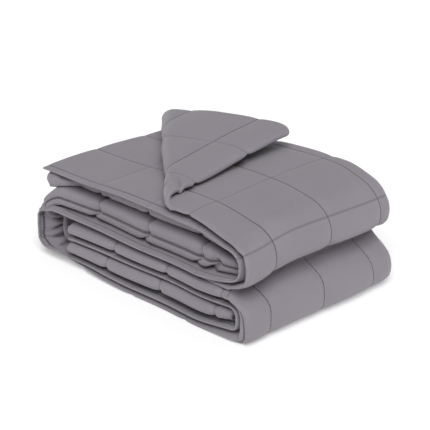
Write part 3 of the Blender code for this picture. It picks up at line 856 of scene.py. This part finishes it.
def quiltedMicrofibre(look):
    # the colour, darker along the stitches by their thread and by painted shade of their grooves, and a
    # height that sums the puckers, the filling's unevenness and the weave, less the sunk stitches
    material = bpy.data.materials.new("quilted microfibre")
    make = NodeWriter(material)
    flat = make.put("ShaderNodeUVMap", {}, uv_map="cloth")
    s = make.put("ShaderNodeSeparateXYZ", {"Vector": flat}, output=0)
    v = make.put("ShaderNodeSeparateXYZ", {"Vector": flat}, output=1)
    crossGap = make.put("ShaderNodeAttribute", {}, output=2, attribute_name="crossGap")
    longGap = make.put("ShaderNodeAttribute", {}, output=2, attribute_name="longGap")

    # stitches: a dash every pitch along the seam, sunk in a narrow groove; the line also stays darker
    # between the dashes, painted shade of the groove
    def stitchAndGrooveShadeLine(gap, along):
        dash = make.math("FRACT", make.math("DIVIDE", along, look["stitchPitch"]))
        fromMiddle = make.math("ABSOLUTE", make.math("SUBTRACT", dash, 0.5))
        dash = make.fade(fromMiddle, *look["stitchEnds"], 1.0, look["grooveShadeBetweenStitches"])
        near, far = look["stitchSides"]
        line = make.fade(gap, look["stitchHalfWidth"] * near, look["stitchHalfWidth"] * far)
        return make.math("MULTIPLY", line, dash)

    crossStitchesAndGrooveShade = make.math("MULTIPLY", stitchAndGrooveShadeLine(crossGap, v), look["crossStitchAndShadeShare"])
    stitchesAndGrooveShade = make.math("MAXIMUM", crossStitchesAndGrooveShade, stitchAndGrooveShadeLine(longGap, s))

    # puckers: short ridges across each seam that die away from it
    def puckers(gap, scaleS, scaleV):
        stretched = make.put("ShaderNodeMapping", {"Vector": flat, "Scale": (scaleS, scaleV, 1.0)})
        ridges = make.noise(stretched, *look["puckerNoise"])
        near = make.fade(gap, 0.0, look["puckerReach"])
        return make.math("MULTIPLY", make.math("SUBTRACT", ridges, 0.5), near)

    away, along = look["puckerScales"]
    pucker = make.math("ADD", puckers(crossGap, away, along), puckers(longGap, along, away))
    soft = make.noise(flat, *look["softNoise"])
    turns = 2.0 * math.pi / look["weavePitch"]
    weave = make.math("ADD", make.math("SINE", make.math("MULTIPLY", s, turns)),
                      make.math("SINE", make.math("MULTIPLY", v, turns)))

    height = make.math("MULTIPLY", pucker, look["puckerDepth"])
    height = make.math("ADD", height, make.math("MULTIPLY", soft, look["softDepth"]))
    height = make.math("SUBTRACT", height, make.math("MULTIPLY", stitchesAndGrooveShade, look["stitchSunk"]))
    height = make.math("ADD", height, make.math("MULTIPLY", weave, look["weaveDepth"]))
    normal = make.put("ShaderNodeBump", {"Height": height, "Strength": 1.0, "Distance": 1.0})

    # colour: the nap lies a little lighter and darker in soft patches
    patches = make.noise(flat, *look["patchNoise"])
    fibres = make.noise(flat, *look["fibreNoise"])
    shade = make.math("ADD", make.math("MULTIPLY", patches, look["patchShare"]),
                      make.math("MULTIPLY", fibres, look["fibreShare"]))
    shade = make.math("ADD", shade, look["shade"])
    cloth = make.put("ShaderNodeVectorMath", {0: (*look["colour"],), "Scale": shade}, operation="SCALE")
    # the stitch lines take the stitch colour: thread and painted shade of the seam grooves
    mix = make.tree.nodes.new("ShaderNodeMix")
    mix.data_type = "RGBA"  # its colours are inputs 6 and 7 and output 2
    make.join(stitchesAndGrooveShade, mix.inputs["Factor"])
    make.join(cloth, mix.inputs[6])
    make.join((*look["stitchAndGrooveShadeColour"], 1.0), mix.inputs[7])
    make.join(mix.outputs[2], make.shader.inputs["Base Color"])
    make.join(normal, make.shader.inputs["Normal"])
    make.join(look["roughness"], make.shader.inputs["Roughness"])
    make.join(look["sheen"], make.shader.inputs["Sheen Weight"])
    make.join(look["sheenRoughness"], make.shader.inputs["Sheen Roughness"])
    make.join(look["specular"], make.shader.inputs["Specular IOR Level"])
    return material


quilt = clothMesh("quilted_blanket")
quilt.data.materials.append(quiltedMicrofibre(microfibre))
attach(quilt, "root")
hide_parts("blanket")
print("blanket:", len(quilt.data.polygons) * 2, "triangles,",
      f"{panelEnds[-1]:.2f} x {sectionEnds[-1]:.2f} m flat")


# The studio: metres, degrees, and millimetres for the lens.
studio = {
    "floorSize": 60.0,
    "floorColour": (0.82, 0.82, 0.82, 1.0),
    "floorRoughness": 0.9,
    "floorGlow": 0.26,
    "worldStrength": 0.22,
    "lampDistance": 3.0,
    "target": (0.2025, -0.1957, 0.2319),
    "distance": 2.687,
    "azimuth": 45.335,
    "elevation": 23.678,
    "lens": 133.95,
    "sensorWidth": 36.0,
}
white = (1.0, 1.0, 1.0, 1.0)

# Broad soft boxes: strength, degrees across, and the way each one comes from.
softBoxes = {
    "key": {"strength": 2.6, "spread": 36.0, "from": (0.60, -0.58, 0.95)},
    "overhead": {"strength": 0.45, "spread": 60.0, "from": (0.05, 0.10, 1.0)},
}


def makeFloor():
    # a wide square at height 0 that glows a little, so that it stays pale
    half = studio["floorSize"] / 2.0
    mesh = bpy.data.meshes.new("floor")
    mesh.from_pydata([(-half, -half, 0.0), (half, -half, 0.0), (half, half, 0.0), (-half, half, 0.0)],
                     [], [(0, 1, 2, 3)])
    material = bpy.data.materials.new("pale floor")
    material.use_nodes = True
    shader = material.node_tree.nodes["Principled BSDF"]
    shader.inputs["Base Color"].default_value = studio["floorColour"]
    shader.inputs["Roughness"].default_value = studio["floorRoughness"]
    shader.inputs["Emission Color"].default_value = white
    shader.inputs["Emission Strength"].default_value = studio["floorGlow"]
    mesh.materials.append(material)
    floor = bpy.data.objects.new("floor", mesh)
    bpy.context.scene.collection.objects.link(floor)


def softLight(name, box):
    # a sun with a wide disc that shines from its side towards the middle
    lamp = bpy.data.lights.new(name, "SUN")
    lamp.energy = box["strength"]
    lamp.angle = math.radians(box["spread"])
    light = bpy.data.objects.new(name, lamp)
    light.location = studio["lampDistance"] * Vector(box["from"])
    light.rotation_euler = (-Vector(box["from"])).to_track_quat("-Z", "Y").to_euler()
    bpy.context.scene.collection.objects.link(light)


def makeCamera():
    # stands at the given distance from the target, along its azimuth and elevation
    turn, tilt = math.radians(studio["azimuth"]), math.radians(studio["elevation"])
    away = Vector((math.sin(turn) * math.cos(tilt), -math.cos(turn) * math.cos(tilt), math.sin(tilt)))
    lens = bpy.data.cameras.new("camera")
    lens.lens = studio["lens"]
    lens.sensor_width = studio["sensorWidth"]
    camera = bpy.data.objects.new("camera", lens)
    camera.location = Vector(studio["target"]) + away * studio["distance"]
    camera.rotation_euler = (-away).to_track_quat("-Z", "Y").to_euler()
    bpy.context.scene.collection.objects.link(camera)
    bpy.context.scene.camera = camera


makeFloor()
for name, box in softBoxes.items():
    softLight(name, box)
world = bpy.data.worlds.new("studio")
world.use_nodes = True
background = world.node_tree.nodes["Background"]
background.inputs["Color"].default_value = white
background.inputs["Strength"].default_value = studio["worldStrength"]
bpy.context.scene.world = world
bpy.context.scene.view_settings.view_transform = "Standard"
makeCamera()
print("studio ready")
